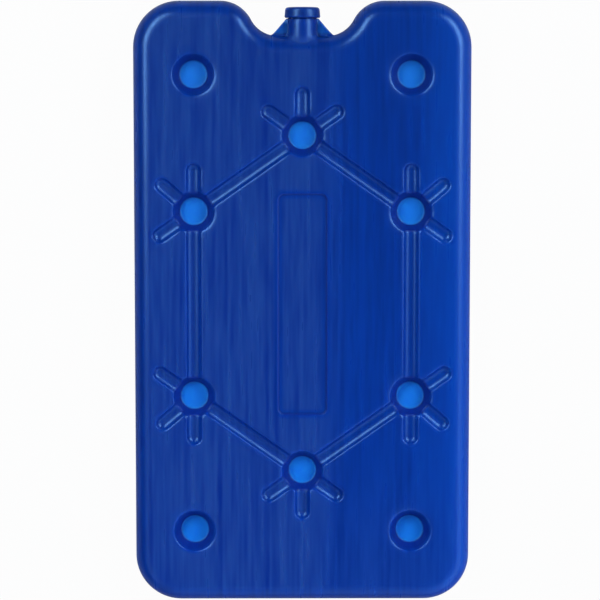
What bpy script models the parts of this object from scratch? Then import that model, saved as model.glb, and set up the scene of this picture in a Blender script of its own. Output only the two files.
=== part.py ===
"""Reusable ice pack: a flat blow-moulded bottle of coolant, closed by a press-in stopper.

The pack lies on its back. X runs across it, Y along it towards the filler neck, and Z is
its thickness, up. The origin is the middle of its back face, on the surface it lies on.
"""

from math import acos, atan2, cos, hypot, pi, radians, sin, tan

import bmesh
import bpy
from mathutils import Matrix

MM = 0.001

# Overall size of the bottle
LENGTH = 250 * MM
WIDTH = 139.5 * MM
THICKNESS = 15 * MM
CORNER_RADIUS = 19 * MM

# Edge, rolled over from each face to the parting line
EDGE_RUN = 7.3 * MM
PARTING_RIDGE = 0.25 * MM
PARTING_HALF_WIDTH = 0.5 * MM

# Notch in the top edge that shelters the filler neck
NOTCH_DEPTH = 14.4 * MM
NOTCH_FLOOR_WIDTH = 20.4 * MM
NOTCH_RADIUS = 12.4 * MM
HORN_RADIUS = 14.3 * MM

# Tack-offs: round dimples from both faces, with the two walls welded where they meet
TACK_WEB = 3 * MM
TACK_FLOOR_RADIUS = 5.65 * MM
TACK_WALL_SLOPE = radians(60)
TACK_LIP_RADIUS = 1.2 * MM
TACK_ROOT_RADIUS = 0.5 * MM
TACK_TO_SIDE = 24.85 * MM
CORNER_TACK_TO_END = 30.2 * MM
CORNER_TO_END_TACK = 25 * MM
END_TO_SIDE_TACK = 31.4 * MM

# Stiffening channels: a hexagon through six tack-offs, with stubs that reach past them
CHANNEL_WIDTH = 7.2 * MM
CHANNEL_WALL_SLOPE = radians(65)
CHANNEL_LIP_RADIUS = 0.9 * MM
CHANNEL_FLAT_TURN = radians(14)
STUB_REACH = 20.5 * MM

# Shallow label panel, sunk in the front face only
PANEL_WIDTH = 20.6 * MM
PANEL_TO_END_TACK = 23.8 * MM
PANEL_DEPTH = 0.45 * MM
PANEL_CORNER_RADIUS = 2.8 * MM
PANEL_WALL_SLOPE = radians(50)

# Filler neck and its two webs, which lie in the parting plane
NECK_RADIUS = 6 * MM
NECK_WALL = 1.5 * MM
NECK_HEIGHT = 7.3 * MM
NECK_SINK = 3 * MM
NECK_CHAMFER = 0.4 * MM
WEB_THICKNESS = 2 * MM
WEB_FOOT_OVERLAP = 2.5 * MM
WEB_HEAD_STEP = 0.6 * MM
WEB_HEAD_DROP = 0.2 * MM
WEB_SINK = 2.5 * MM

# Stopper: a flat head on a plain spigot
HEAD_OVERHANG = 1.35 * MM
HEAD_HEIGHT = 4.1 * MM
HEAD_DRAFT = radians(3)
HEAD_EDGE_RADIUS = 0.9 * MM
HEAD_FOOT_CHAMFER = 0.25 * MM
SPIGOT_LENGTH = 9 * MM
SPIGOT_CHAMFER = 0.9 * MM
SPIGOT_END_ROOM = 2 * MM
FIT_GAP = 0.3 * MM

# How finely the round forms are divided
CORNER_STEPS = 8
NOTCH_STEPS = 5
EDGE_STEPS = 5
TACK_SIDES = 24
CHANNEL_END_STEPS = 6
CHANNEL_FLOOR_STEPS = 3
LIP_STEPS = 2
PANEL_CORNER_STEPS = 4
NECK_SIDES = 32
HEAD_EDGE_STEPS = 3
SHARP_ANGLE = radians(35)

# How far a cutter stands out of the face that it cuts
TOOL_RISE = 0.6 * MM

MIDDLE = THICKNESS / 2
TACK_DEPTH = (THICKNESS - TACK_WEB) / 2
TACK_SPREAD_X = WIDTH / 2 - TACK_TO_SIDE
CORNER_TACK_Y = LENGTH / 2 - CORNER_TACK_TO_END
END_TACK_Y = CORNER_TACK_Y - CORNER_TO_END_TACK
SIDE_TACK_Y = END_TACK_Y - END_TO_SIDE_TACK
PANEL_LENGTH = 2 * (END_TACK_Y - PANEL_TO_END_TACK)
NOTCH_FLOOR_Y = LENGTH / 2 - NOTCH_DEPTH
NECK_LIP_Y = NOTCH_FLOOR_Y + NECK_HEIGHT
NECK_FOOT_Y = NOTCH_FLOOR_Y - PARTING_RIDGE - EDGE_RUN - NECK_SINK
BORE_RADIUS = NECK_RADIUS - NECK_WALL
BORE_DEPTH = SPIGOT_LENGTH + SPIGOT_END_ROOM
SPIGOT_RADIUS = BORE_RADIUS - FIT_GAP
HEAD_RADIUS = NECK_RADIUS + HEAD_OVERHANG


def clear_scene():
    for thing in list(bpy.data.objects):
        bpy.data.objects.remove(thing)


def plastic(name, colour, roughness):
    """A moulded plastic. Its colour is given as sRGB, and turned linear here."""
    made = bpy.data.materials.new(name)
    made.use_nodes = True
    shader = made.node_tree.nodes["Principled BSDF"]
    linear = [((c + 0.055) / 1.055) ** 2.4 for c in colour]
    shader.inputs["Base Color"].default_value = (*linear, 1)
    shader.inputs["Roughness"].default_value = roughness
    shader.inputs["Metallic"].default_value = 0
    made.diffuse_color = (*linear, 1)
    return made


def arc(centre, radius, start, end, steps):
    """Points along an arc, both ends included."""
    turns = [start + (end - start) * i / steps for i in range(steps + 1)]
    return [(centre[0] + radius * cos(t), centre[1] + radius * sin(t)) for t in turns]


def circle(radius, sides):
    return arc((0, 0), radius, 0, 2 * pi, sides)[:-1]


def stadium(half_width, reach, steps):
    """A slot's outline: from a round end about (0, 0) to one about (reach, 0)."""
    far = arc((reach, 0), half_width, -pi / 2, pi / 2, steps)
    near = arc((0, 0), half_width, pi / 2, 3 * pi / 2, steps)
    return far + near


def rounded_rectangle(width, length, radius, steps):
    x, y = width / 2 - radius, length / 2 - radius
    points = []
    for turn, centre in enumerate([(x, y), (-x, y), (-x, -y), (x, -y)]):
        points += arc(centre, radius, turn * pi / 2, (turn + 1) * pi / 2, steps)
    return points


def bottle_outline(inset):
    """The bottle's outline in plan, moved in from the parting line by inset."""
    corner_x = WIDTH / 2 - CORNER_RADIUS
    corner_y = LENGTH / 2 - CORNER_RADIUS
    # The convex horn and the concave notch meet on one slanted tangent
    radii = HORN_RADIUS + NOTCH_RADIUS
    turn = acos(1 - NOTCH_DEPTH / radii)
    floor_x = NOTCH_FLOOR_WIDTH / 2
    horn = (floor_x + radii * sin(turn), LENGTH / 2 - HORN_RADIUS)
    hollow = (floor_x, NOTCH_FLOOR_Y + NOTCH_RADIUS)

    tight = CORNER_RADIUS - inset
    right = arc((corner_x, -corner_y), tight, -pi / 2, 0, CORNER_STEPS)
    right += arc((corner_x, corner_y), tight, 0, pi / 2, CORNER_STEPS)
    right += arc(horn, HORN_RADIUS - inset, pi / 2, pi / 2 + turn, NOTCH_STEPS)[:-1]
    right += arc(hollow, NOTCH_RADIUS + inset, turn - pi / 2, -pi / 2, NOTCH_STEPS)
    left = [(-x, y) for x, y in reversed(right)]
    return right + left


def edge_section():
    """(inset, height) up the rolled edge, from the back face to the front face."""
    crest = atan2(PARTING_HALF_WIDTH, MIDDLE)
    ellipse = arc((0, 0), 1, pi / 2, crest, EDGE_STEPS)
    half = [(PARTING_RIDGE + EDGE_RUN * (1 - out), MIDDLE * rise) for out, rise in ellipse]
    back = [(inset, MIDDLE - rise) for inset, rise in half]
    front = [(inset, MIDDLE + rise) for inset, rise in reversed(half)]
    return back + [(0, MIDDLE)] + front


def loft(name, rings):
    """A closed solid through rings of points, lowest first, each anticlockwise from above."""
    shape = bmesh.new()
    loops = [[shape.verts.new(point) for point in ring] for ring in rings]
    shape.faces.new(list(reversed(loops[0])))
    shape.faces.new(loops[-1])
    for low, high in zip(loops, loops[1:]):
        for i, corner in enumerate(low):
            j = (i + 1) % len(low)
            shape.faces.new((corner, low[j], high[j], high[i]))
    mesh = bpy.data.meshes.new(name)
    shape.to_mesh(mesh)
    shape.free()
    mesh.shade_smooth()
    mesh.set_sharp_from_angle(angle=SHARP_ANGLE)
    made = bpy.data.objects.new(name, mesh)
    bpy.context.scene.collection.objects.link(made)
    return made


def stack(outline, levels):
    """Rings for loft(): outline(reach) lifted to height, for each (reach, height)."""
    return [[(x, y, height) for x, y in outline(reach)] for reach, height in levels]


def lip(mouth, radius, slope):
    """(reach, height) up a recess's rounded lip, from its wall to above the face."""
    turns = [slope * (1 - i / LIP_STEPS) for i in range(LIP_STEPS)]
    levels = [(mouth - radius * sin(t), -radius * (1 - cos(t))) for t in turns]
    last_slope = slope / LIP_STEPS / 2
    levels.append((mouth + TOOL_RISE / tan(last_slope), TOOL_RISE))
    return levels


def tack_off_tool():
    """The dimple's form: flat welded floor, small root radius, conical wall, round lip."""
    slope, root = TACK_WALL_SLOPE, TACK_ROOT_RADIUS
    root_back = root * tan(slope / 2)
    wall_foot = TACK_FLOOR_RADIUS + root_back * cos(slope)
    wall_foot_height = root_back * sin(slope) - TACK_DEPTH
    lip_drop = TACK_LIP_RADIUS * (1 - cos(slope))
    wall_run = (-lip_drop - wall_foot_height) / tan(slope)
    mouth = wall_foot + wall_run + TACK_LIP_RADIUS * sin(slope)
    levels = [(TACK_FLOOR_RADIUS - root_back, -TACK_DEPTH), (wall_foot, wall_foot_height)]
    levels += lip(mouth, TACK_LIP_RADIUS, slope)
    return loft("tack_off_tool", stack(lambda r: circle(r, TACK_SIDES), levels))


def channel_tool(name, run):
    """A channel's form, run long between the centres of its round ends."""
    slope, half = CHANNEL_WALL_SLOPE, CHANNEL_WIDTH / 2
    both_radii = half / sin(slope)
    floor_radius = both_radii - CHANNEL_LIP_RADIUS
    depth = both_radii * (1 - cos(slope))
    levels = []
    for i in range(CHANNEL_FLOOR_STEPS):
        t = CHANNEL_FLAT_TURN + (slope - CHANNEL_FLAT_TURN) * i / CHANNEL_FLOOR_STEPS
        levels.append((floor_radius * sin(t), floor_radius * (1 - cos(t)) - depth))
    levels += lip(half, CHANNEL_LIP_RADIUS, slope)
    return loft(name, stack(lambda r: stadium(r, run, CHANNEL_END_STEPS), levels))


def panel_tool():
    """The label panel's form: a rounded rectangle with drafted walls."""

    def outline(grow):
        width, length = PANEL_WIDTH + 2 * grow, PANEL_LENGTH + 2 * grow
        return rounded_rectangle(width, length, PANEL_CORNER_RADIUS + grow, PANEL_CORNER_STEPS)

    run = 1 / tan(PANEL_WALL_SLOPE)
    levels = [(-PANEL_DEPTH * run, -PANEL_DEPTH), (TOOL_RISE * run, TOOL_RISE)]
    return loft("panel_tool", stack(outline, levels))


def as_cutter(thing, group, placement):
    """Files a tool in a group, with its local Z = 0 on the face that it cuts."""
    bpy.context.scene.collection.objects.unlink(thing)
    group.objects.link(thing)
    thing.matrix_world = placement
    thing.hide_render = True
    thing.display_type = "WIRE"


def copy_of(thing):
    made = bpy.data.objects.new(thing.name, thing.data)
    bpy.context.scene.collection.objects.link(made)
    return made


def recess_group(name, face):
    """All the dimples and channels of one face, as cutters placed by that face's frame."""
    group = bpy.data.collections.new(name)
    bpy.context.scene.collection.children.link(group)

    corners = [(x * TACK_SPREAD_X, y * CORNER_TACK_Y) for x in (1, -1) for y in (1, -1)]
    hexagon = [
        (0, END_TACK_Y),
        (-TACK_SPREAD_X, SIDE_TACK_Y),
        (-TACK_SPREAD_X, -SIDE_TACK_Y),
        (0, -END_TACK_Y),
        (TACK_SPREAD_X, -SIDE_TACK_Y),
        (TACK_SPREAD_X, SIDE_TACK_Y),
    ]
    dimple = tack_off_tool()
    for spot in corners + hexagon:
        as_cutter(copy_of(dimple), group, face @ Matrix.Translation((*spot, 0)))
    bpy.data.objects.remove(dimple)

    # Each side of the hexagon runs on past both its tack-offs as a stub
    stub_run = STUB_REACH - CHANNEL_WIDTH / 2
    for here, there in zip(hexagon, hexagon[1:] + hexagon[:1]):
        aim = atan2(there[1] - here[1], there[0] - here[0])
        side = hypot(there[0] - here[0], there[1] - here[1])
        start = (here[0] - stub_run * cos(aim), here[1] - stub_run * sin(aim), 0)
        tool = channel_tool("side_channel_tool", side + 2 * stub_run)
        as_cutter(tool, group, face @ Matrix.Translation(start) @ Matrix.Rotation(aim, 4, "Z"))
    # One more stub at each tack-off points away from the middle of the face
    for x, y in hexagon:
        outward = Matrix.Rotation(atan2(y, x), 4, "Z")
        tool = channel_tool("outer_stub_tool", stub_run)
        as_cutter(tool, group, face @ Matrix.Translation((x, y, 0)) @ outward)
    return group


def along_y(from_y):
    """Stands a solid made along Z on the plane Y = from_y, on the neck's axis."""
    return Matrix.Translation((0, from_y, MIDDLE)) @ Matrix.Rotation(-pi / 2, 4, "X")


def neck_form():
    """The neck's outer cylinder, rooted in the bottle below the notch."""
    length = NECK_LIP_Y - NECK_FOOT_Y
    levels = [(NECK_RADIUS, 0), (NECK_RADIUS, length - NECK_CHAMFER)]
    levels.append((NECK_RADIUS - NECK_CHAMFER, length))
    made = loft("neck_form", stack(lambda r: circle(r, NECK_SIDES), levels))
    made.matrix_world = along_y(NECK_FOOT_Y)
    return made


def neck_webs_form():
    """One flat plate through the neck, whose two slanted ends are the webs beside it."""
    sunk_y, head_y = NOTCH_FLOOR_Y - WEB_SINK, NECK_LIP_Y - WEB_HEAD_DROP
    foot_reach = NOTCH_FLOOR_WIDTH / 2 + WEB_FOOT_OVERLAP
    head_reach = NECK_RADIUS + WEB_HEAD_STEP
    slant = (foot_reach - head_reach) / (head_y - NOTCH_FLOOR_Y)
    sunk_reach = foot_reach + WEB_SINK * slant
    plate = [(-sunk_reach, sunk_y), (sunk_reach, sunk_y)]
    plate += [(head_reach, head_y), (-head_reach, head_y)]
    low, high = MIDDLE - WEB_THICKNESS / 2, MIDDLE + WEB_THICKNESS / 2
    return loft("neck_webs_form", [[(x, y, z) for x, y in plate] for z in (low, high)])


def bore_tool():
    levels = [(BORE_RADIUS, 0), (BORE_RADIUS, BORE_DEPTH + TOOL_RISE)]
    made = loft("bore_tool", stack(lambda r: circle(r, NECK_SIDES), levels))
    made.matrix_world = along_y(NECK_LIP_Y - BORE_DEPTH)
    return made


def cut_or_join(target, tool, operation):
    """A Boolean modifier on target, whose tool is an object or a group of them."""
    step = target.modifiers.new(operation.lower(), "BOOLEAN")
    step.operation = operation
    step.solver = "EXACT"
    if isinstance(tool, bpy.types.Collection):
        step.operand_type = "COLLECTION"
        step.collection = tool
    else:
        step.object = tool
        tool.hide_render = True
        tool.display_type = "WIRE"


def make_bottle(finish):
    """The blow-moulded bottle, full of coolant and sealed, so it is solid here."""
    bottle = loft("bottle", stack(bottle_outline, edge_section()))
    cut_or_join(bottle, neck_form(), "UNION")
    cut_or_join(bottle, neck_webs_form(), "UNION")
    cut_or_join(bottle, bore_tool(), "DIFFERENCE")

    front = Matrix.Translation((0, 0, THICKNESS))
    back = Matrix.Rotation(pi, 4, "Y")
    front_group = recess_group("front_recesses", front)
    as_cutter(panel_tool(), front_group, front)
    cut_or_join(bottle, front_group, "DIFFERENCE")
    cut_or_join(bottle, recess_group("back_recesses", back), "DIFFERENCE")
    bottle.data.materials.append(finish)
    return bottle


def make_stopper(finish):
    """The press-in stopper: its spigot fills the neck's bore, its head covers the rim."""
    rise = SPIGOT_LENGTH + FIT_GAP
    top_radius = HEAD_RADIUS - tan(HEAD_DRAFT) * HEAD_HEIGHT
    edge_centre = (top_radius - HEAD_EDGE_RADIUS, rise + HEAD_HEIGHT - HEAD_EDGE_RADIUS)
    levels = [(SPIGOT_RADIUS - SPIGOT_CHAMFER / 2, 0), (SPIGOT_RADIUS, SPIGOT_CHAMFER)]
    levels += [(SPIGOT_RADIUS, rise), (HEAD_RADIUS - HEAD_FOOT_CHAMFER, rise)]
    levels.append((HEAD_RADIUS, rise + HEAD_FOOT_CHAMFER))
    levels += arc(edge_centre, HEAD_EDGE_RADIUS, 0, pi / 2, HEAD_EDGE_STEPS)
    stopper = loft("stopper", stack(lambda r: circle(r, NECK_SIDES), levels))
    stopper.matrix_world = along_y(NECK_LIP_Y - SPIGOT_LENGTH)
    stopper.data.materials.append(finish)
    return stopper


def main():
    clear_scene()
    make_bottle(plastic("blue_polyethylene", (0.08, 0.22, 0.58), 0.38))
    make_stopper(plastic("blue_stopper", (0.07, 0.23, 0.6), 0.32))
    bpy.context.view_layer.update()


main()
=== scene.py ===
"""Looks of the reusable ice pack: a flat blow-moulded bottle and its press-in stopper.

The pack lies on its back. X runs across it, Y along it towards the filler neck, and Z is
its thickness, up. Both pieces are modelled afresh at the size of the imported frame, with the
fine fillets, soft shoulders and moulding lines that the frame's plain solids leave out.
"""

from math import acos, atan2, cos, hypot, pi, radians, sin, tan

import bmesh
import bpy
from mathutils import Matrix, Vector, kdtree, noise


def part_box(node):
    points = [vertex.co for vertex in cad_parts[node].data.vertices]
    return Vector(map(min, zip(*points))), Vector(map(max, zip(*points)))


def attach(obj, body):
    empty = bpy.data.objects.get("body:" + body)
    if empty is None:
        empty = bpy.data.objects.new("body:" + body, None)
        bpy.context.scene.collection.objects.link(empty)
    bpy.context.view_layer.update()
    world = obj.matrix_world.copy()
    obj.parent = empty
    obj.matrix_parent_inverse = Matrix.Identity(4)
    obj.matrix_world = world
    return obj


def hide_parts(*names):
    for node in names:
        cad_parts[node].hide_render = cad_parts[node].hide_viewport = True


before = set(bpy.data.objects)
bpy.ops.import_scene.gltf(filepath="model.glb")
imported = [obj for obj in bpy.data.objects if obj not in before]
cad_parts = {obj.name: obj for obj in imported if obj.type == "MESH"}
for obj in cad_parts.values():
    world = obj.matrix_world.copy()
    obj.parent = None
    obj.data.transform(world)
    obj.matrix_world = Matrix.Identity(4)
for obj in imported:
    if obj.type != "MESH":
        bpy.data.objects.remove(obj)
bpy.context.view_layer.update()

MM = 0.001

# Overall size, read from the frame
LOW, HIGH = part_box("bottle")
WIDTH = HIGH.x - LOW.x
LENGTH = HIGH.y - LOW.y
THICKNESS = HIGH.z - LOW.z
MIDDLE = THICKNESS / 2

# Outline of the bottle in plan
CORNER_RADIUS = 19 * MM
NOTCH_DEPTH = 14.4 * MM
NOTCH_FLOOR_WIDTH = 20.4 * MM
NOTCH_RADIUS = 12.4 * MM
HORN_RADIUS = 14.3 * MM
NOTCH_FLOOR_Y = LENGTH / 2 - NOTCH_DEPTH

# Edge, rolled over from the face to the parting line
EDGE_RUN = 7.3 * MM
PARTING_RIDGE = 0.25 * MM
PARTING_HALF_WIDTH = 0.5 * MM

# A lip is the bends from a recess's wall out into the face: radius, slope in degrees at the
# wall's side, and steps. The last bend is the face's wide soft shoulder.
TACK_LIP = [(0.7 * MM, 62, 3), (4.8 * MM, 25, 4), (17 * MM, 10, 5)]
CHANNEL_LIP = [(0.6 * MM, 60, 3), (2.6 * MM, 25, 3), (8 * MM, 10, 4)]
PANEL_LIP = [(0.35 * MM, 52, 3), (3 * MM, 12, 4)]

# Tack-offs, where the two walls are pressed together and welded
TACK_WEB = 3 * MM
TACK_DEPTH = (THICKNESS - TACK_WEB) / 2
TACK_FLOOR_RADIUS = 5.75 * MM
TACK_ROOT_RADIUS = 0.5 * MM
TACK_SPREAD_X = WIDTH / 2 - 24.85 * MM
CORNER_TACK_Y = LENGTH / 2 - 30.2 * MM
END_TACK_Y = CORNER_TACK_Y - 25 * MM
SIDE_TACK_Y = END_TACK_Y - 31.4 * MM
HEXAGON = [
    (0, END_TACK_Y),
    (-TACK_SPREAD_X, SIDE_TACK_Y),
    (-TACK_SPREAD_X, -SIDE_TACK_Y),
    (0, -END_TACK_Y),
    (TACK_SPREAD_X, -SIDE_TACK_Y),
    (TACK_SPREAD_X, SIDE_TACK_Y),
]
TACK_OFFS = HEXAGON + [(x * TACK_SPREAD_X, y * CORNER_TACK_Y) for x in (1, -1) for y in (1, -1)]

# Stiffening channels
CHANNEL_FLOOR_HALF = 2.98 * MM
STUB_RUN = 16.9 * MM

# Label panel
PANEL_WIDTH = 20.6 * MM
PANEL_LENGTH = 92 * MM
PANEL_DEPTH = 0.8 * MM
PANEL_CORNER_RADIUS = 2.8 * MM
PANEL_ROOT_RADIUS = 0.3 * MM
PANEL_STEP_INSET = 0.4 * MM
PANEL_FLOOR_RING = 1 * MM

# Neck and its webs
NECK_RADIUS = 6 * MM
NECK_WALL = 1.5 * MM
NECK_HEIGHT = 7.3 * MM
NECK_LIP_Y = NOTCH_FLOOR_Y + NECK_HEIGHT
NECK_FOOT_Y = NOTCH_FLOOR_Y - 10.5 * MM
NECK_CHAMFER = 0.4 * MM
NECK_FLARE_DEPTH = 2 * MM
NECK_FLARE_RADIUS = 2 * MM
NECK_FLARE_TURN = radians(8)
BORE_RADIUS = NECK_RADIUS - NECK_WALL
BORE_DEPTH = 11 * MM
WEB_THICKNESS = 2 * MM
WEB_FOOT_REACH = 12.7 * MM
WEB_HEAD_REACH = 6.6 * MM
WEB_HEAD_Y = NECK_LIP_Y - 0.2 * MM
WEB_SINK = 2.5 * MM
WEB_ROUNDING = 0.35 * MM

# Stopper
FIT_GAP = 0.3 * MM
SEAT_GAP = 0.05 * MM
SPIGOT_LENGTH = 9 * MM
SPIGOT_CHAMFER = 0.9 * MM
SPIGOT_RADIUS = BORE_RADIUS - FIT_GAP
HEAD_RADIUS = 7.35 * MM
HEAD_HEIGHT = 4.1 * MM
HEAD_DRAFT = radians(3)
HEAD_EDGE_RADIUS = 1.3 * MM
HEAD_FOOT_RADIUS = 0.6 * MM

# Rounding of the junctions that cutting leaves
CREASE_ANGLE = radians(20)
CREASE_REACH = 0.9 * MM
CREASE_DIVISIONS = 2
CREASE_ROUNDS = 5

# Unevenness of the faces after moulding
SAG = 0.12 * MM
SAG_SIZE = 38 * MM

# How finely the forms are divided
CORNER_STEPS = 20
NOTCH_STEPS = 12
EDGE_STEPS = 14
FACE_GRID = 2.7 * MM
ROOT_STEPS = 3
TACK_SIDES = 60
TACK_WALL_RINGS = (0.33, 0.67)
CHANNEL_FLOOR_STEPS = 7
CHANNEL_END_STEPS = 16
CHANNEL_STRIDE = 4 * MM
PANEL_CORNER_STEPS = 8
NECK_SIDES = 64
NECK_FLARE_STEPS = 5
SMALL_ROUND_STEPS = 3
HEAD_FOOT_STEPS = 5
HEAD_EDGE_STEPS = 8

# How far cutters rise over the face, how far lips run on past their rims, and how much too
# deep the front half is made before it is cut at the parting plane
TOOL_RISE = 0.6 * MM
RIM_RUN = 1 * MM
SKIRT = 2 * MM

# Points closer than this are one, and edges sharper than this are shaded sharp
MERGE = 0.001 * MM
SHARP_ANGLE = radians(40)

# Where the wall is marked as stretched, and its colour darkened with painted shade: inside a
# dimple's mouth, and below the face
STRETCH_MOUTH = 8.8 * MM
STRETCH_MOUTH_BLEND = 0.6 * MM
STRETCH_TOP = 0.6 * MM
STRETCH_BLEND = 1.2 * MM

# Where it is marked as welded, and its colour made paler with painted light from behind: on
# the dimples' floors, and more weakly on the neck's webs
WELD_INSET = 0.5 * MM
WELD_BLEND = 0.7 * MM
WEB_PALENESS = 0.3
WEB_MARGIN = 1 * MM

# Die lines, as width across and length along the tube. Real ones go down to a few tenths of
# a millimetre, and the finest here are drawn as coarse as they need to be to show.
FINE_LINES = (2 * MM, 200 * MM)
SHORT_LINES = (1.7 * MM, 22 * MM)
BROAD_LINES = (9 * MM, 90 * MM)
LINES_THROUGH = 12 * MM
BROAD_SHARE = 0.22
LINE_CONTRAST = (0.34, 0.66)
LINE_RELIEF = 0.012 * MM

# Haze: where it starts and where it is full, across the tube, towards its foot, on level
# wall, and away from the label panel's step, where the wall is stretched and painted shade lies
HAZE_X = (22 * MM, 0)
FOOT_HAZE_Y = (65 * MM - LENGTH / 2, 3 * MM - LENGTH / 2)
FOOT_HAZE_SHARE = 0.4
HAZE_LEVEL = (0.93, 0.995)
PANEL_CLEAR = (0.8 * MM, 2.6 * MM)
PANEL_SHADE_AND_STRETCH = (1 * MM, 0.3 * MM)
PANEL_SHADE_AND_STRETCH_SHARE = 0.65

# Where the right edge's lighter blue, which is painted light, and the neck's deeper one, which
# is painted shade, start and are full
LIT_EDGE_X = (WIDTH / 2 - 29.75 * MM, WIDTH / 2 - 1.75 * MM)
NECK_MARK_X = (NECK_RADIUS + 0.6 * MM, NECK_RADIUS)
NECK_MARK_Y = (NOTCH_FLOOR_Y - 4.6 * MM, NOTCH_FLOOR_Y - 2.1 * MM)

# Roughness: the wall's from its smooth lines to its hazier ones, what stretching adds to
# it, what the neck adds at its foot and above, and the stopper's
SATIN = (0.26, 0.34)
STRETCH_DULL = 0.2
NECK_DULL = (0.34, 0.06)
NECK_DULL_Y = (NOTCH_FLOOR_Y - 1.4 * MM, NOTCH_FLOOR_Y + 0.4 * MM)
STOPPER_SATIN = (0.3, 0.4)

# Painted shade along the tube: how light its colour is made at the foot, and at the neck's end
TUBE_PAINTED_SHADE = (1.24, 0.85)

# Colours of the bottle's wall, the first three for a pale and for a dark die line
CLEAR_BLUE = ("#042E84", "#00206E")
# The right edge's lighter blue is painted light
LIT_EDGE_BLUE = ("#043993", "#032F87")
HAZY_BLUE = ("#193B80", "#021F71")
# The stretched walls' darker blue is painted shade as well as thin wall
STRETCHED_SHADE_BLUE = "#00186E"
# The welds' paler blue is partly painted light, as if shining through from behind
WELDED_GLOW_BLUE = "#0863BE"
# The neck's deeper blue is painted shade
NECK_SHADE_BLUE = "#002272"
STOPPER_BLUE = "#042268"
GLOSS_BLUE = "#81C0FF"

# The stopper's soft grain, drawn coarse enough to show
GRAIN_SIZE = 1.5 * MM
GRAIN_RELIEF = 0.01 * MM

# How light spreads inside the plastic: little red, more green, most blue
SPREAD_BY_COLOUR = (0.1, 0.6, 1)

# The table, and the room's light, which comes from low at the foot's right
FLOOR_HALF = 6
FLOOR_DROP = 0.05 * MM
FLOOR_WHITE_SHARE = 0.97
WHITE = "#FFFFFF"
TABLE_PAINT = "#828C96"
ROOM_DARK = "#1C1C1C"
ROOM_BRIGHT = "#A8CCFF"
ROOM_LIGHT_FROM = (0.6, -0.8, -0.05)
ROOM_LIGHT_START = -0.2
ROOM_LIGHT_FALLOFF = 2.4
ROOM_STRENGTH = 2.4

# Lamps: name, place, direction of the long side, width and length, and power in watts
LAMPS = [
    ("left_softbox", (-0.44, 0.32, 0.53), (0.35, 1, 0), (0.23, 0.62), 5.9),
    ("right_softbox", (0.6, 0.34, 0.5), (-0.25, 1, 0), (0.32, 0.62), 7),
    ("left_reflector", (-0.62, -0.3, 0.62), (0, 1, 0), (0.35, 0.9), 1),
    ("right_reflector", (0.75, -0.3, 0.5), (0, 1, 0), (0.45, 0.9), 1.6),
    ("front_reflector", (0, -0.8, 0.45), (1, 0, 0), (0.6, 1.5), 1),
]

# The camera's place, from the photograph's perspective
CAMERA_DISTANCE = 991.5 * MM
CAMERA_TILT = radians(5.485)
CAMERA_YAW = radians(-0.336)
CAMERA_AIM = Vector((-0.979 * MM, 1.299 * MM, MIDDLE))
CAMERA_FOCAL_PIXELS = 2381.6
FRAME_PIXELS = 600
SENSOR_MM = 36

# Settings that several nodes share
SMOOTH = {"interpolation_type": "SMOOTHSTEP"}
COLOURS = {"data_type": "RGBA"}


def arc(centre, radius, start, end, steps):
    """Points along an arc, both ends included."""
    turns = [start + (end - start) * i / steps for i in range(steps + 1)]
    return [(centre[0] + radius * cos(t), centre[1] + radius * sin(t)) for t in turns]


def everything(shape):
    return shape.verts[:] + shape.edges[:] + shape.faces[:]


def finished(shape, name):
    """Turns a bmesh into an object, with its doubles merged and its faces pointing out."""
    bmesh.ops.remove_doubles(shape, verts=shape.verts, dist=MERGE)
    bmesh.ops.recalc_face_normals(shape, faces=shape.faces)
    mesh = bpy.data.meshes.new(name)
    shape.to_mesh(mesh)
    shape.free()
    made = bpy.data.objects.new(name, mesh)
    bpy.context.scene.collection.objects.link(made)
    return made


def swept_form(name, profile, corners, steps, stride=1):
    """A closed form: a (reach, height) profile carried anticlockwise round flat corners.

    One corner gives a turned form, two a slot and four a rounded rectangle.
    """
    shape = bmesh.new()
    corners = [Vector((x, y, 0)) for x, y in corners]
    along = (corners[0] - corners[-1]).normalized() if len(corners) > 1 else Vector((1, 0, 0))
    outward = Vector((along.y, -along.x, 0))
    up = Vector((0, 0, 1))
    verts = [shape.verts.new(corners[0] + outward * reach + up * height) for reach, height in profile]
    last = verts + [shape.edges.new(pair) for pair in zip(verts, verts[1:])]
    turn = 2 * pi / len(corners)
    for corner, following in zip(corners, corners[1:] + corners[:1]):
        spun = bmesh.ops.spin(shape, geom=last, cent=corner, axis=up, angle=turn, steps=steps)
        last = spun["geom_last"]
        run = following - corner
        strides = max(1, round(run.length / stride)) if run.length else 0
        for _ in range(strides):
            edges = [part for part in last if isinstance(part, bmesh.types.BMEdge)]
            grown = bmesh.ops.extrude_edge_only(shape, edges=edges)["geom"]
            moved = [part for part in grown if isinstance(part, bmesh.types.BMVert)]
            bmesh.ops.translate(shape, verts=moved, vec=run / strides)
            last = moved + [part for part in grown if isinstance(part, bmesh.types.BMEdge)]
    bmesh.ops.remove_doubles(shape, verts=shape.verts, dist=MERGE)
    bmesh.ops.holes_fill(shape, edges=[edge for edge in shape.edges if edge.is_boundary])
    return finished(shape, name)


def lip(bends):
    """A lip's (run, height) from its wall out to its rim, and on into the air over the face.

    The bends are given from the wall outwards, and end level with the face.
    """
    levels = [(0, 0)]
    slopes = [radians(bend[1]) for bend in bends] + [0]
    for (radius, _, steps), steep, gentle in zip(bends, slopes, slopes[1:]):
        foot_run, foot_height = levels[-1]
        for i in range(1, steps + 1):
            turn = steep + (gentle - steep) * i / steps
            run = foot_run + radius * (sin(steep) - sin(turn))
            levels.append((run, foot_height + radius * (cos(turn) - cos(steep))))
    (near_run, near_height), (rim_run, rim_height) = levels[-2:]
    past_rim = RIM_RUN * (rim_height - near_height) / (rim_run - near_run)
    levels[-1] = (rim_run + RIM_RUN, rim_height + past_rim)
    return [(run, height - rim_height) for run, height in levels]


def closed_above(levels):
    """Ends a cutter's profile with its outer side and its top, in the air over the face."""
    return levels + [(levels[-1][0], TOOL_RISE), (0, TOOL_RISE)]


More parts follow.
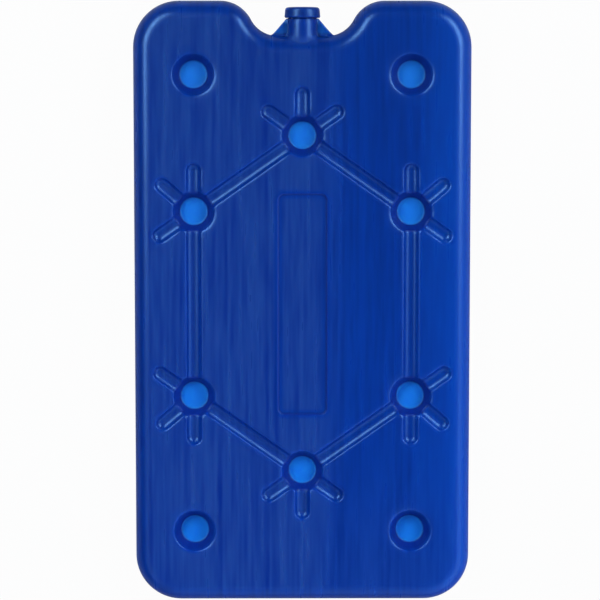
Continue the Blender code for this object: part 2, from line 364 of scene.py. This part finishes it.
def tack_off_profile():
    """Flat welded floor, small root radius, conical wall and round lip."""
    slope, root, rim = radians(TACK_LIP[0][1]), TACK_ROOT_RADIUS, lip(TACK_LIP)
    foot = TACK_FLOOR_RADIUS - root * tan(slope / 2)
    levels = [(0, -TACK_DEPTH), (foot / 2, -TACK_DEPTH)]
    levels += arc((foot, root - TACK_DEPTH), root, -pi / 2, slope - pi / 2, ROOT_STEPS)
    wall_foot, wall_foot_height = levels[-1]
    wall_rise = rim[0][1] - wall_foot_height
    for share in TACK_WALL_RINGS:
        rise = wall_rise * share
        levels.append((wall_foot + rise / tan(slope), wall_foot_height + rise))
    wall_top = wall_foot + wall_rise / tan(slope)
    return closed_above(levels + [(wall_top + run, height) for run, height in rim])


def channel_profile():
    """Round floor that runs tangent into a round lip."""
    slope, rim = radians(CHANNEL_LIP[0][1]), lip(CHANNEL_LIP)
    floor_radius = CHANNEL_FLOOR_HALF / sin(slope)
    centre = (0, rim[0][1] + floor_radius * cos(slope))
    floor = arc(centre, floor_radius, -pi / 2, slope - pi / 2, CHANNEL_FLOOR_STEPS)
    return closed_above(floor[:-1] + [(CHANNEL_FLOOR_HALF + run, height) for run, height in rim])


def panel_tool():
    """The label panel's shallow form, with round corners and lips."""
    slope, root, rim = radians(PANEL_LIP[0][1]), PANEL_ROOT_RADIUS, lip(PANEL_LIP)
    middle = PANEL_CORNER_RADIUS - (rim[-2][0] + root * sin(slope)) / 2
    foot = (middle - root * sin(slope), root - PANEL_DEPTH)
    floor = arc(foot, root, -pi / 2, slope - pi / 2, ROOT_STEPS)
    wall_run = (rim[0][1] - floor[-1][1]) / tan(slope)
    levels = [(floor[0][0] - PANEL_FLOOR_RING, -PANEL_DEPTH)] + floor
    levels += [(middle + wall_run + run, height) for run, height in rim]
    levels.append((levels[-1][0], TOOL_RISE))
    x, y = PANEL_WIDTH / 2 - PANEL_CORNER_RADIUS, PANEL_LENGTH / 2 - PANEL_CORNER_RADIUS
    corners = [(x, -y), (x, y), (-x, y), (-x, -y)]
    return swept_form("panel_tool", levels, corners, PANEL_CORNER_STEPS)


def body_outline():
    """The bottle's outline in plan at the parting line, anticlockwise."""
    corner_x = WIDTH / 2 - CORNER_RADIUS
    corner_y = LENGTH / 2 - CORNER_RADIUS
    # The convex horn and the concave notch meet on one slanted tangent
    radii = HORN_RADIUS + NOTCH_RADIUS
    turn = acos(1 - NOTCH_DEPTH / radii)
    floor_x = NOTCH_FLOOR_WIDTH / 2
    horn = (floor_x + radii * sin(turn), LENGTH / 2 - HORN_RADIUS)
    hollow = (floor_x, NOTCH_FLOOR_Y + NOTCH_RADIUS)
    right = arc((corner_x, -corner_y), CORNER_RADIUS, -pi / 2, 0, CORNER_STEPS)
    right += arc((corner_x, corner_y), CORNER_RADIUS, 0, pi / 2, CORNER_STEPS)
    right += arc(horn, HORN_RADIUS, pi / 2, pi / 2 + turn, NOTCH_STEPS)[:-1]
    right += arc(hollow, NOTCH_RADIUS, turn - pi / 2, -pi / 2, NOTCH_STEPS)
    return right + [(-x, y) for x, y in reversed(right)]


def front_half():
    """The plain front half of the bottle, with a grid on it that later forms can bend."""
    shape = bmesh.new()
    outline = body_outline()
    floor = shape.faces.new([shape.verts.new((x, y, MIDDLE - SKIRT)) for x, y in outline])
    raised = bmesh.ops.extrude_face_region(shape, geom=[floor])["geom"]
    crown = next(part for part in raised if isinstance(part, bmesh.types.BMFace))
    bmesh.ops.translate(shape, verts=crown.verts[:], vec=(0, 0, SKIRT))
    shape.normal_update()

    crest = atan2(PARTING_HALF_WIDTH, MIDDLE)
    ellipse = arc((0, 0), 1, crest, pi / 2, EDGE_STEPS)
    section = [(PARTING_RIDGE + EDGE_RUN * (1 - out), MIDDLE * rise) for out, rise in ellipse]
    inset, height = 0, 0
    for to_inset, to_height in section:
        bmesh.ops.inset_individual(
            shape,
            faces=[crown],
            thickness=to_inset - inset,
            depth=to_height - height,
            use_even_offset=True,
        )
        inset, height = to_inset, to_height

    for axis, reach in ((Vector((1, 0, 0)), WIDTH / 2), (Vector((0, 1, 0)), LENGTH / 2)):
        count = round(2 * reach / FACE_GRID)
        for i in range(1, count):
            spot = axis * (reach * (2 * i / count - 1))
            bmesh.ops.bisect_plane(
                shape, geom=everything(shape), dist=MERGE, plane_co=spot, plane_no=axis
            )
    return finished(shape, "bottle_half")


def along_y(from_y):
    """Stands a form made along Z on the plane Y = from_y, on the neck's axis."""
    return Matrix.Translation((0, from_y, MIDDLE)) @ Matrix.Rotation(-pi / 2, 4, "X")


def neck_form():
    """The neck, a tube that flares where it runs into the bottle's rolled edge."""
    length = NECK_LIP_Y - NECK_FOOT_Y
    flare_height = NOTCH_FLOOR_Y - NECK_FLARE_DEPTH - NECK_FOOT_Y
    flare_centre = (NECK_RADIUS + NECK_FLARE_RADIUS, flare_height)
    chamfer_centre = (NECK_RADIUS - NECK_CHAMFER, length - NECK_CHAMFER)
    levels = [(0, 0), (BORE_RADIUS, 0)]
    levels += arc(flare_centre, NECK_FLARE_RADIUS, pi + NECK_FLARE_TURN, pi, NECK_FLARE_STEPS)
    levels += arc(chamfer_centre, NECK_CHAMFER, 0, pi / 2, SMALL_ROUND_STEPS)
    levels.append((0, length))
    made = swept_form("neck_form", levels, [(0, 0)], NECK_SIDES)
    made.matrix_world = along_y(NECK_FOOT_Y)
    return made


def webs_form():
    """One flat plate through the neck, whose two slanted ends are the webs beside it."""
    shape = bmesh.new()
    slant = (WEB_FOOT_REACH - WEB_HEAD_REACH) / (WEB_HEAD_Y - NOTCH_FLOOR_Y)
    sunk_reach, sunk_y = WEB_FOOT_REACH + WEB_SINK * slant, NOTCH_FLOOR_Y - WEB_SINK
    corners = [(-sunk_reach, sunk_y), (sunk_reach, sunk_y)]
    corners += [(WEB_HEAD_REACH, WEB_HEAD_Y), (-WEB_HEAD_REACH, WEB_HEAD_Y)]
    low = MIDDLE - WEB_THICKNESS / 2
    plate = shape.faces.new([shape.verts.new((x, y, low)) for x, y in corners])
    raised = bmesh.ops.extrude_face_region(shape, geom=[plate])["geom"]
    verts = [part for part in raised if isinstance(part, bmesh.types.BMVert)]
    bmesh.ops.translate(shape, verts=verts, vec=(0, 0, WEB_THICKNESS))
    bmesh.ops.bevel(
        shape,
        geom=shape.edges[:],
        offset=WEB_ROUNDING,
        segments=SMALL_ROUND_STEPS,
        profile=0.5,
        affect="EDGES",
        material=-1,
    )
    return finished(shape, "webs_form")


def bore_tool():
    top = BORE_DEPTH + TOOL_RISE
    levels = [(0, 0), (BORE_RADIUS, 0), (BORE_RADIUS, top), (0, top)]
    made = swept_form("bore_tool", levels, [(0, 0)], NECK_SIDES)
    made.matrix_world = along_y(NECK_LIP_Y - BORE_DEPTH)
    return made


def recess_tools():
    """The dimples and channels of one face, each standing in the front face's plane."""
    face = Matrix.Translation((0, 0, THICKNESS))
    dimple, channel = tack_off_profile(), channel_profile()
    tools = []
    for x, y in TACK_OFFS:
        tool = swept_form("dimple_tool", dimple, [(0, 0)], TACK_SIDES)
        tools.append((tool, face @ Matrix.Translation((x, y, 0))))

    # Each side of the hexagon runs on past both its tack-offs as a stub
    runs = []
    for here, there in zip(HEXAGON, HEXAGON[1:] + HEXAGON[:1]):
        aim = atan2(there[1] - here[1], there[0] - here[0])
        side = hypot(there[0] - here[0], there[1] - here[1])
        start = (here[0] - STUB_RUN * cos(aim), here[1] - STUB_RUN * sin(aim))
        runs.append((start, aim, side + 2 * STUB_RUN))
    # One more stub at each tack-off points away from the middle of the face
    runs += [(spot, atan2(spot[1], spot[0]), STUB_RUN) for spot in HEXAGON]
    for (x, y), aim, run in runs:
        ends = [(run, 0), (0, 0)]
        tool = swept_form("channel_tool", channel, ends, CHANNEL_END_STEPS, CHANNEL_STRIDE)
        tools.append((tool, face @ Matrix.Translation((x, y, 0)) @ Matrix.Rotation(aim, 4, "Z")))
    for tool, placement in tools:
        tool.matrix_world = placement
    return [tool for tool, placement in tools]


def combined(target, steps):
    """Applies (operation, tools) to target in turn, and returns the mesh that comes out."""
    groups = []
    for operation, tools in steps:
        group = bpy.data.collections.new(operation.lower())
        bpy.context.scene.collection.children.link(group)
        groups.append(group)
        for tool in tools:
            group.objects.link(tool)
        step = target.modifiers.new(operation.lower(), "BOOLEAN")
        step.operation = operation
        step.solver = "EXACT"
        step.operand_type = "COLLECTION"
        step.collection = group
    dressed = target.evaluated_get(bpy.context.evaluated_depsgraph_get())
    mesh = bpy.data.meshes.new_from_object(dressed)
    for operation, tools in steps:
        for tool in tools:
            bpy.data.objects.remove(tool)
    for group in groups:
        bpy.data.collections.remove(group)
    bpy.data.objects.remove(target)
    return mesh


def near_creases(shape):
    """The vertices within reach of an edge that the cuts left sharp."""
    spots = []
    for edge in shape.edges:
        if edge.is_manifold and edge.calc_face_angle() > CREASE_ANGLE:
            one, other = edge.verts[0].co, edge.verts[1].co
            pieces = max(1, round(edge.calc_length() / (CREASE_REACH / 2)))
            spots += [one.lerp(other, i / pieces) for i in range(pieces + 1)]
    tree = kdtree.KDTree(len(spots))
    for i, spot in enumerate(spots):
        tree.insert(spot, i)
    tree.balance()
    return [vert for vert in shape.verts if tree.find(vert.co)[2] < CREASE_REACH]


def round_creases(shape):
    """Divides the mesh finely beside each sharp junction, and smooths the junction over."""
    for _ in range(CREASE_DIVISIONS):
        near = set(near_creases(shape))
        faces = {face for vert in near for face in vert.link_faces}
        bmesh.ops.triangulate(shape, faces=list(faces))
        edges = {edge for vert in near if vert.is_valid for edge in vert.link_edges}
        long_edges = [edge for edge in edges if edge.calc_length() > CREASE_REACH]
        bmesh.ops.subdivide_edges(shape, edges=long_edges, cuts=1)
        ngons = [face for face in shape.faces if len(face.verts) > 4]
        bmesh.ops.triangulate(shape, faces=ngons)
    near = [vert for vert in near_creases(shape) if vert.co.z > MIDDLE + MERGE]
    for _ in range(CREASE_ROUNDS):
        bmesh.ops.smooth_vert(
            shape, verts=near, factor=0.5, use_axis_x=True, use_axis_y=True, use_axis_z=True
        )


def smooth_step(value):
    value = min(max(value, 0), 1)
    return value * value * (3 - 2 * value)


def sag_face(shape):
    """Lets the front face sink a little, unevenly, as it does while the plastic cools."""
    floor = MIDDLE + TACK_WEB / 2
    for vert in shape.verts:
        if vert.co.z > floor:
            share = (vert.co.z - floor) / (THICKNESS - floor)
            sag = 0.5 + 0.5 * noise.noise(Vector((vert.co.x, vert.co.y, 0)) / SAG_SIZE)
            vert.co.z -= share * SAG * sag


def mark_walls(mesh):
    """Stores on each point how much it is welded web, whose colour gets painted light, and how
    much it is stretched wall, whose colour gets painted shade.
    """
    weld_and_glow = mesh.attributes.new("weld_and_glow", "FLOAT", "POINT")
    stretch_and_shade = mesh.attributes.new("stretch_and_shade", "FLOAT", "POINT")
    for i, vert in enumerate(mesh.vertices):
        reach = min(hypot(vert.co.x - x, vert.co.y - y) for x, y in TACK_OFFS)
        depth = MIDDLE - abs(vert.co.z - MIDDLE)
        # The stretch mark darkens the colour with painted shade
        inside = smooth_step((STRETCH_MOUTH - reach) / STRETCH_MOUTH_BLEND)
        stretch_and_shade.data[i].value = inside * smooth_step((depth - STRETCH_TOP) / STRETCH_BLEND)
        # The weld mark lightens the colour with painted light, as if shining through from behind
        floor = 1 - smooth_step((reach - TACK_FLOOR_RADIUS + WELD_INSET) / WELD_BLEND)
        beside_neck = NECK_RADIUS + MERGE < abs(vert.co.x) < WEB_FOOT_REACH + WEB_MARGIN
        web = WEB_PALENESS if beside_neck and vert.co.y > NOTCH_FLOOR_Y + WEB_MARGIN else 0
        weld_and_glow.data[i].value = max(web, floor)


def bottle_mesh():
    """The blow-moulded bottle with its neck and webs, cut on both faces."""
    steps = [
        ("UNION", [neck_form(), webs_form()]),
        ("DIFFERENCE", [bore_tool()] + recess_tools()),
    ]
    half = bmesh.new()
    half.from_mesh(combined(front_half(), steps))
    middle = Vector((0, 0, MIDDLE))
    bmesh.ops.bisect_plane(
        half, geom=everything(half), dist=MERGE, plane_co=middle, plane_no=(0, 0, 1), clear_inner=True
    )
    round_creases(half)
    sag_face(half)
    bmesh.ops.mirror(
        half, geom=everything(half), matrix=Matrix.Translation(-middle), merge_dist=MERGE, axis="Z"
    )
    whole = finished(half, "bottle_whole")
    panel = panel_tool()
    panel.matrix_world = Matrix.Translation((0, 0, THICKNESS))
    mesh = combined(whole, [("DIFFERENCE", [panel])])
    mesh.shade_smooth()
    mesh.set_sharp_from_angle(angle=SHARP_ANGLE)
    return mesh


def make_bottle():
    mesh = bottle_mesh()
    mark_walls(mesh)
    bottle = bpy.data.objects.new("moulded_bottle", mesh)
    bpy.context.scene.collection.objects.link(bottle)
    mesh.materials.clear()
    mesh.materials.append(blow_moulded_polyethylene())
    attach(bottle, "root")
    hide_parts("bottle")


def make_stopper():
    """The press-in stopper: a plain spigot under a flat head with round edges."""
    rise = SPIGOT_LENGTH + SEAT_GAP
    top = SPIGOT_LENGTH + FIT_GAP + HEAD_HEIGHT
    top_radius = HEAD_RADIUS - tan(HEAD_DRAFT) * HEAD_HEIGHT
    edge_centre = (top_radius - HEAD_EDGE_RADIUS, top - HEAD_EDGE_RADIUS)
    foot_centre = (HEAD_RADIUS - HEAD_FOOT_RADIUS, rise + HEAD_FOOT_RADIUS)
    levels = [(0, 0), (SPIGOT_RADIUS - SPIGOT_CHAMFER / 2, 0), (SPIGOT_RADIUS, SPIGOT_CHAMFER)]
    levels += [(SPIGOT_RADIUS, rise)]
    levels += arc(foot_centre, HEAD_FOOT_RADIUS, -pi / 2, 0, HEAD_FOOT_STEPS)
    levels += arc(edge_centre, HEAD_EDGE_RADIUS, 0, pi / 2, HEAD_EDGE_STEPS)
    levels += [(edge_centre[0] / 2, top), (0, top)]
    stopper = swept_form("pressed_stopper", levels, [(0, 0)], NECK_SIDES)
    stopper.data.transform(along_y(NECK_LIP_Y - SPIGOT_LENGTH))
    stopper.data.shade_smooth()
    stopper.data.set_sharp_from_angle(angle=SHARP_ANGLE)
    stopper.data.materials.append(moulded_polyethylene())
    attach(stopper, "root")
    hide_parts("stopper")


def linear(colour):
    """An sRGB hex colour as linear red, green, blue and alpha."""
    parts = [int(colour[i : i + 2], 16) / 255 for i in (1, 3, 5)]
    return [c / 12.92 if c <= 0.04045 else ((c + 0.055) / 1.055) ** 2.4 for c in parts] + [1]


def add(tree, kind, output, settings=None, inputs=None):
    """Adds one node, with its settings, and its inputs as values or links, for one output."""
    made = tree.nodes.new(kind)
    for name, value in (settings or {}).items():
        setattr(made, name, value)
    for name, value in (inputs or {}).items():
        if isinstance(value, bpy.types.NodeSocket):
            tree.links.new(value, made.inputs[name])
        else:
            made.inputs[name].default_value = value
    return None if output is None else made.outputs[output]


def new_material(name, surface):
    """A material whose surface the given function builds in its node tree."""
    material = bpy.data.materials.new(name)
    material.use_nodes = True
    tree = material.node_tree
    tree.nodes.clear()
    add(tree, "ShaderNodeOutputMaterial", None, {}, {"Surface": surface(tree)})
    return material


def die_lines(tree, spot, size, detail):
    """Noise drawn out along the tube, each line about as wide and long as size says."""
    width, length = size
    inputs = {"Vector": spot, "Scale": (1 / width, 1 / length, 1 / LINES_THROUGH)}
    drawn = add(tree, "ShaderNodeMapping", "Vector", {"vector_type": "POINT"}, inputs)
    inputs = {"Vector": drawn, "Scale": 1, "Detail": detail, "Roughness": 0.6}
    return add(tree, "ShaderNodeTexNoise", "Fac", {}, inputs)


def distance_from_panel_step(tree, spot):
    """How far a point is from the middle of the step round the label panel, in plan."""
    folded = add(tree, "ShaderNodeVectorMath", 0, {"operation": "ABSOLUTE"}, {0: spot})
    # The step is at one distance from a smaller rectangle, on which the corners are centred
    corner = (PANEL_CORNER_RADIUS - PANEL_WIDTH / 2, PANEL_CORNER_RADIUS - PANEL_LENGTH / 2, MIDDLE)
    inputs = {0: folded, 1: (1, 1, -1), 2: corner}
    past_corner = add(tree, "ShaderNodeVectorMath", 0, {"operation": "MULTIPLY_ADD"}, inputs)
    inputs = {0: past_corner, 1: (0, 0, 0)}
    outside = add(tree, "ShaderNodeVectorMath", 0, {"operation": "MAXIMUM"}, inputs)
    reach = add(tree, "ShaderNodeVectorMath", "Value", {"operation": "LENGTH"}, {0: outside})
    inputs = {0: reach, 1: PANEL_CORNER_RADIUS - PANEL_STEP_INSET}
    signed = add(tree, "ShaderNodeMath", 0, {"operation": "SUBTRACT"}, inputs)
    return add(tree, "ShaderNodeMath", 0, {"operation": "ABSOLUTE"}, {0: signed})


def haze(tree, across, along, facing, from_step):
    """How hazy the wall is: on the tube's left side, and thinly on all of its foot.

    Only level wall is hazy, and the mould's edge round the label panel clears it.
    """
    inputs = {"Value": across, "From Min": HAZE_X[0], "From Max": HAZE_X[1]}
    left = add(tree, "ShaderNodeMapRange", "Result", SMOOTH, inputs)
    inputs = {"Value": along, "From Min": FOOT_HAZE_Y[0], "From Max": FOOT_HAZE_Y[1]}
    inputs.update({"To Min": 0, "To Max": FOOT_HAZE_SHARE})
    foot = add(tree, "ShaderNodeMapRange", "Result", SMOOTH, inputs)
    side = add(tree, "ShaderNodeMath", 0, {"operation": "MAXIMUM"}, {0: left, 1: foot})
    level = add(tree, "ShaderNodeMath", 0, {"operation": "ABSOLUTE"}, {0: facing})
    inputs = {"Value": level, "From Min": HAZE_LEVEL[0], "From Max": HAZE_LEVEL[1]}
    flat = add(tree, "ShaderNodeMapRange", "Result", SMOOTH, inputs)
    inputs = {"Value": from_step, "From Min": PANEL_CLEAR[0], "From Max": PANEL_CLEAR[1]}
    away = add(tree, "ShaderNodeMapRange", "Result", SMOOTH, inputs)
    flat_side = add(tree, "ShaderNodeMath", 0, {"operation": "MULTIPLY"}, {0: side, 1: flat})
    return add(tree, "ShaderNodeMath", 0, {"operation": "MULTIPLY"}, {0: flat_side, 1: away})


def stretched_and_shaded_wall(tree, from_step):
    """How stretched and thin the wall is: in the dimples, and at the label panel's step. The
    same mark darkens the colour there with painted shade.
    """
    dimples = add(tree, "ShaderNodeAttribute", "Fac", {"attribute_name": "stretch_and_shade"})
    # The panel's step is darkened too, with painted shade
    inputs = {"Value": from_step, "From Min": PANEL_SHADE_AND_STRETCH[0], "From Max": PANEL_SHADE_AND_STRETCH[1]}
    inputs["To Max"] = PANEL_SHADE_AND_STRETCH_SHARE
    step = add(tree, "ShaderNodeMapRange", "Result", SMOOTH, inputs)
    return add(tree, "ShaderNodeMath", 0, {"operation": "MAXIMUM"}, {0: dimples, 1: step})


def on_neck(tree, across, along):
    """How surely a point is on the neck, and not on its webs or on the bottle."""
    off_axis = add(tree, "ShaderNodeMath", 0, {"operation": "ABSOLUTE"}, {0: across})
    inputs = {"Value": off_axis, "From Min": NECK_MARK_X[0], "From Max": NECK_MARK_X[1]}
    beside = add(tree, "ShaderNodeMapRange", "Result", SMOOTH, inputs)
    inputs = {"Value": along, "From Min": NECK_MARK_Y[0], "From Max": NECK_MARK_Y[1]}
    beyond = add(tree, "ShaderNodeMapRange", "Result", SMOOTH, inputs)
    return add(tree, "ShaderNodeMath", 0, {"operation": "MULTIPLY"}, {0: beside, 1: beyond})


def bottle_blue(tree, lines, across, along, hazy, stretch_and_shade, neck):
    """The wall's colour, by its die lines and haze, with painted shade on stretched walls, the neck
    and the tube towards it, and painted light on the welds and the right edge.
    """
    inputs = {"Value": lines, "From Min": LINE_CONTRAST[0], "From Max": LINE_CONTRAST[1]}
    dark = add(tree, "ShaderNodeMapRange", "Result", {}, inputs)
    clear_blue, lit_edge_blue, hazy_blue = [
        add(tree, "ShaderNodeMix", 2, COLOURS, {0: dark, 6: linear(pale_line), 7: linear(dark_line)})
        for pale_line, dark_line in (CLEAR_BLUE, LIT_EDGE_BLUE, HAZY_BLUE)
    ]
    # Painted light: the colour is lighter towards the right edge
    inputs = {"Value": across, "From Min": LIT_EDGE_X[0], "From Max": LIT_EDGE_X[1]}
    near_lit_edge = add(tree, "ShaderNodeMapRange", "Result", SMOOTH, inputs)
    clear = add(tree, "ShaderNodeMix", 2, COLOURS, {0: near_lit_edge, 6: clear_blue, 7: lit_edge_blue})
    blue = add(tree, "ShaderNodeMix", 2, COLOURS, {0: hazy, 6: clear, 7: hazy_blue})
    # Painted shade: the dimples' walls and the panel's step are darker
    walls = add(tree, "ShaderNodeMix", 2, COLOURS, {0: stretch_and_shade, 6: blue, 7: linear(STRETCHED_SHADE_BLUE)})
    # Painted light: the welded floors and webs are paler, as if lit from behind
    weld_and_glow = add(tree, "ShaderNodeAttribute", "Fac", {"attribute_name": "weld_and_glow"})
    welded_and_glowing = add(tree, "ShaderNodeMix", 2, COLOURS, {0: weld_and_glow, 6: walls, 7: linear(WELDED_GLOW_BLUE)})
    # Painted shade along the tube: the colour is made darker towards the neck and lighter
    # towards the foot
    inputs = {"Value": along, "From Min": -LENGTH / 2, "From Max": LENGTH / 2}
    inputs.update({"To Min": TUBE_PAINTED_SHADE[0], "To Max": TUBE_PAINTED_SHADE[1]})
    shade = add(tree, "ShaderNodeMapRange", "Result", {}, inputs)
    inputs = {0: welded_and_glowing, "Scale": shade}
    shaded_tube = add(tree, "ShaderNodeVectorMath", 0, {"operation": "SCALE"}, inputs)
    # The neck's deeper blue is painted shade
    return add(tree, "ShaderNodeMix", 2, COLOURS, {0: neck, 6: shaded_tube, 7: linear(NECK_SHADE_BLUE)})


def bottle_roughness(tree, fine, along, stretch_and_shade, neck):
    """Satin, a little rougher on each fine die line, and duller where the mould didn't press."""
    inputs = {"Value": fine, "From Min": 0.3, "From Max": 0.7}
    inputs.update({"To Min": SATIN[0], "To Max": SATIN[1]})
    polish = add(tree, "ShaderNodeMapRange", "Result", {}, inputs)
    # The neck isn't pressed on the mould's polished faces, least of all at its foot
    inputs = {"Value": along, "From Min": NECK_DULL_Y[0], "From Max": NECK_DULL_Y[1]}
    inputs.update({"To Min": NECK_DULL[0], "To Max": NECK_DULL[1]})
    unpressed = add(tree, "ShaderNodeMapRange", "Result", SMOOTH, inputs)
    matt = add(tree, "ShaderNodeMath", 0, {"operation": "MULTIPLY"}, {0: neck, 1: unpressed})
    inputs = {0: stretch_and_shade, 1: STRETCH_DULL, 2: matt}
    dull = add(tree, "ShaderNodeMath", 0, {"operation": "MULTIPLY_ADD"}, inputs)
    return add(tree, "ShaderNodeMath", 0, {"operation": "ADD"}, {0: polish, 1: dull})


def bottle_surface(tree):
    spot = add(tree, "ShaderNodeTexCoord", "Object")
    across = add(tree, "ShaderNodeSeparateXYZ", "X", {}, {0: spot})
    along = across.node.outputs["Y"]
    facing = add(tree, "ShaderNodeSeparateXYZ", "Z", {}, {0: spot.node.outputs["Normal"]})
    long_lines = die_lines(tree, spot, FINE_LINES, 1)
    short_lines = die_lines(tree, spot, SHORT_LINES, 1)
    inputs = {"Factor": 0.5, "A": long_lines, "B": short_lines}
    fine = add(tree, "ShaderNodeMix", "Result", {"data_type": "FLOAT"}, inputs)
    inputs = {"Factor": BROAD_SHARE, "A": fine, "B": die_lines(tree, spot, BROAD_LINES, 2)}
    lines = add(tree, "ShaderNodeMix", "Result", {"data_type": "FLOAT"}, inputs)
    from_step = distance_from_panel_step(tree, spot)
    hazy = haze(tree, across, along, facing, from_step)
    stretch_and_shade = stretched_and_shaded_wall(tree, from_step)
    neck = on_neck(tree, across, along)
    inputs = {"Strength": 1, "Distance": LINE_RELIEF, "Height": fine}
    bump = add(tree, "ShaderNodeBump", "Normal", {}, inputs)
    inputs = {
        "Base Color": bottle_blue(tree, lines, across, along, hazy, stretch_and_shade, neck),
        "Roughness": bottle_roughness(tree, fine, along, stretch_and_shade, neck),
        "IOR": 1.54,
        "Specular Tint": linear(GLOSS_BLUE),
        "Subsurface Weight": 0.7,
        "Subsurface Radius": SPREAD_BY_COLOUR,
        "Subsurface Scale": 4.5 * MM,
        "Normal": bump,
    }
    return add(tree, "ShaderNodeBsdfPrincipled", "BSDF", {}, inputs)


def blow_moulded_polyethylene():
    """High-density polyethylene, blown from an extruded tube.

    The die leaves fine lines along the tube, some smoother and darker, some hazier. The
    thin stretched walls of the dimples show the dark coolant, and are darker still with painted
    shade, as is the label panel's step. The welded webs, with no coolant behind them, are pale,
    and paler with painted light from behind. The right edge is lighter with painted light, and
    the neck and the tube towards it are darker with painted shade.
    """
    return new_material("blow_moulded_polyethylene", bottle_surface)


def stopper_surface(tree):
    spot = add(tree, "ShaderNodeTexCoord", "Object")
    inputs = {"Vector": spot, "Scale": 1 / GRAIN_SIZE, "Detail": 3}
    grain = add(tree, "ShaderNodeTexNoise", "Fac", {}, inputs)
    inputs = {"Value": grain, "To Min": STOPPER_SATIN[0], "To Max": STOPPER_SATIN[1]}
    rough = add(tree, "ShaderNodeMapRange", "Result", {}, inputs)
    inputs = {"Strength": 1, "Distance": GRAIN_RELIEF, "Height": grain}
    bump = add(tree, "ShaderNodeBump", "Normal", {}, inputs)
    inputs = {
        "Base Color": linear(STOPPER_BLUE),
        "Roughness": rough,
        "IOR": 1.51,
        "Specular Tint": linear(GLOSS_BLUE),
        "Subsurface Weight": 0.8,
        "Subsurface Radius": SPREAD_BY_COLOUR,
        "Subsurface Scale": 6 * MM,
        "Normal": bump,
    }
    return add(tree, "ShaderNodeBsdfPrincipled", "BSDF", {}, inputs)


def moulded_polyethylene():
    """Low-density polyethylene, injection moulded: smoother than the bottle, with a soft grain."""
    return new_material("moulded_polyethylene", stopper_surface)


def floor_surface(tree):
    path = add(tree, "ShaderNodeLightPath", "Is Camera Ray")
    paint = add(tree, "ShaderNodeBsdfDiffuse", "BSDF", {}, {"Color": linear(TABLE_PAINT)})
    inputs = {"Color": linear(WHITE), "Strength": 1}
    glow = add(tree, "ShaderNodeEmission", "Emission", {}, inputs)
    inputs = {0: path, 1: FLOOR_WHITE_SHARE}
    share = add(tree, "ShaderNodeMath", "Value", {"operation": "MULTIPLY"}, inputs)
    return add(tree, "ShaderNodeMixShader", "Shader", {}, {0: share, 1: paint, 2: glow})


def painted_table():
    """Matt table paint that keeps the pack's soft shadow, and looks white to the camera."""
    return new_material("painted_table", floor_surface)


def make_floor():
    shape = bmesh.new()
    bmesh.ops.create_grid(shape, x_segments=1, y_segments=1, size=FLOOR_HALF)
    floor = finished(shape, "floor")
    floor.data.transform(Matrix.Translation((0, 0, -FLOOR_DROP)))
    floor.data.materials.append(painted_table())


def make_room():
    """A grey room that is lighter and bluer towards one side, and white to the camera."""
    world = bpy.data.worlds.new("studio")
    world.use_nodes = True
    tree = world.node_tree
    tree.nodes.clear()
    path = add(tree, "ShaderNodeLightPath", "Is Camera Ray")
    direction = add(tree, "ShaderNodeTexCoord", "Generated")
    inputs = {0: direction, 1: ROOM_LIGHT_FROM}
    towards = add(tree, "ShaderNodeVectorMath", "Value", {"operation": "DOT_PRODUCT"}, inputs)
    inputs = {"Value": towards, "From Min": ROOM_LIGHT_START, "From Max": 1}
    lit = add(tree, "ShaderNodeMapRange", "Result", {}, inputs)
    inputs = {0: lit, 1: ROOM_LIGHT_FALLOFF}
    share = add(tree, "ShaderNodeMath", 0, {"operation": "POWER"}, inputs)
    inputs = {0: share, 6: linear(ROOM_DARK), 7: linear(ROOM_BRIGHT)}
    cool = add(tree, "ShaderNodeMix", 2, COLOURS, inputs)
    room = add(tree, "ShaderNodeBackground", 0, {}, {"Color": cool, "Strength": ROOM_STRENGTH})
    white = add(tree, "ShaderNodeBackground", 0, {}, {"Color": linear(WHITE), "Strength": 1})
    seen = add(tree, "ShaderNodeMixShader", "Shader", {}, {0: path, 1: room, 2: white})
    add(tree, "ShaderNodeOutputWorld", None, {}, {"Surface": seen})
    bpy.context.scene.world = world


def placed(name, data, place, right, up, back):
    """Adds a lamp or a camera at a place, turned to the three directions."""
    made = bpy.data.objects.new(name, data)
    turn = Matrix((right, up, back)).transposed().to_4x4()
    made.matrix_world = Matrix.Translation(place) @ turn
    bpy.context.scene.collection.objects.link(made)
    return made


def make_lamp(name, place, along, size, power):
    """A rectangular lamp that looks at the pack, with its long side close to along."""
    lamp = bpy.data.lights.new(name, "AREA")
    lamp.shape = "RECTANGLE"
    lamp.size, lamp.size_y = size
    lamp.energy = power
    back = Vector(place).normalized()
    along = Vector(along)
    along = (along - back * along.dot(back)).normalized()
    placed(name, lamp, place, along.cross(back), along, back)


def make_camera():
    lens = bpy.data.cameras.new("camera")
    lens.sensor_width = SENSOR_MM
    lens.lens = CAMERA_FOCAL_PIXELS / FRAME_PIXELS * SENSOR_MM
    level = cos(CAMERA_TILT)
    back = Vector((sin(CAMERA_YAW) * level, sin(CAMERA_TILT), cos(CAMERA_YAW) * level))
    right = Vector((cos(CAMERA_YAW), 0, -sin(CAMERA_YAW)))
    place = CAMERA_AIM + back * CAMERA_DISTANCE
    bpy.context.scene.camera = placed("camera", lens, place, right, back.cross(right), back)


make_camera()
make_floor()
make_room()
for lamp in LAMPS:
    make_lamp(*lamp)
make_bottle()
make_stopper()
bpy.context.scene.view_settings.view_transform = "Standard"
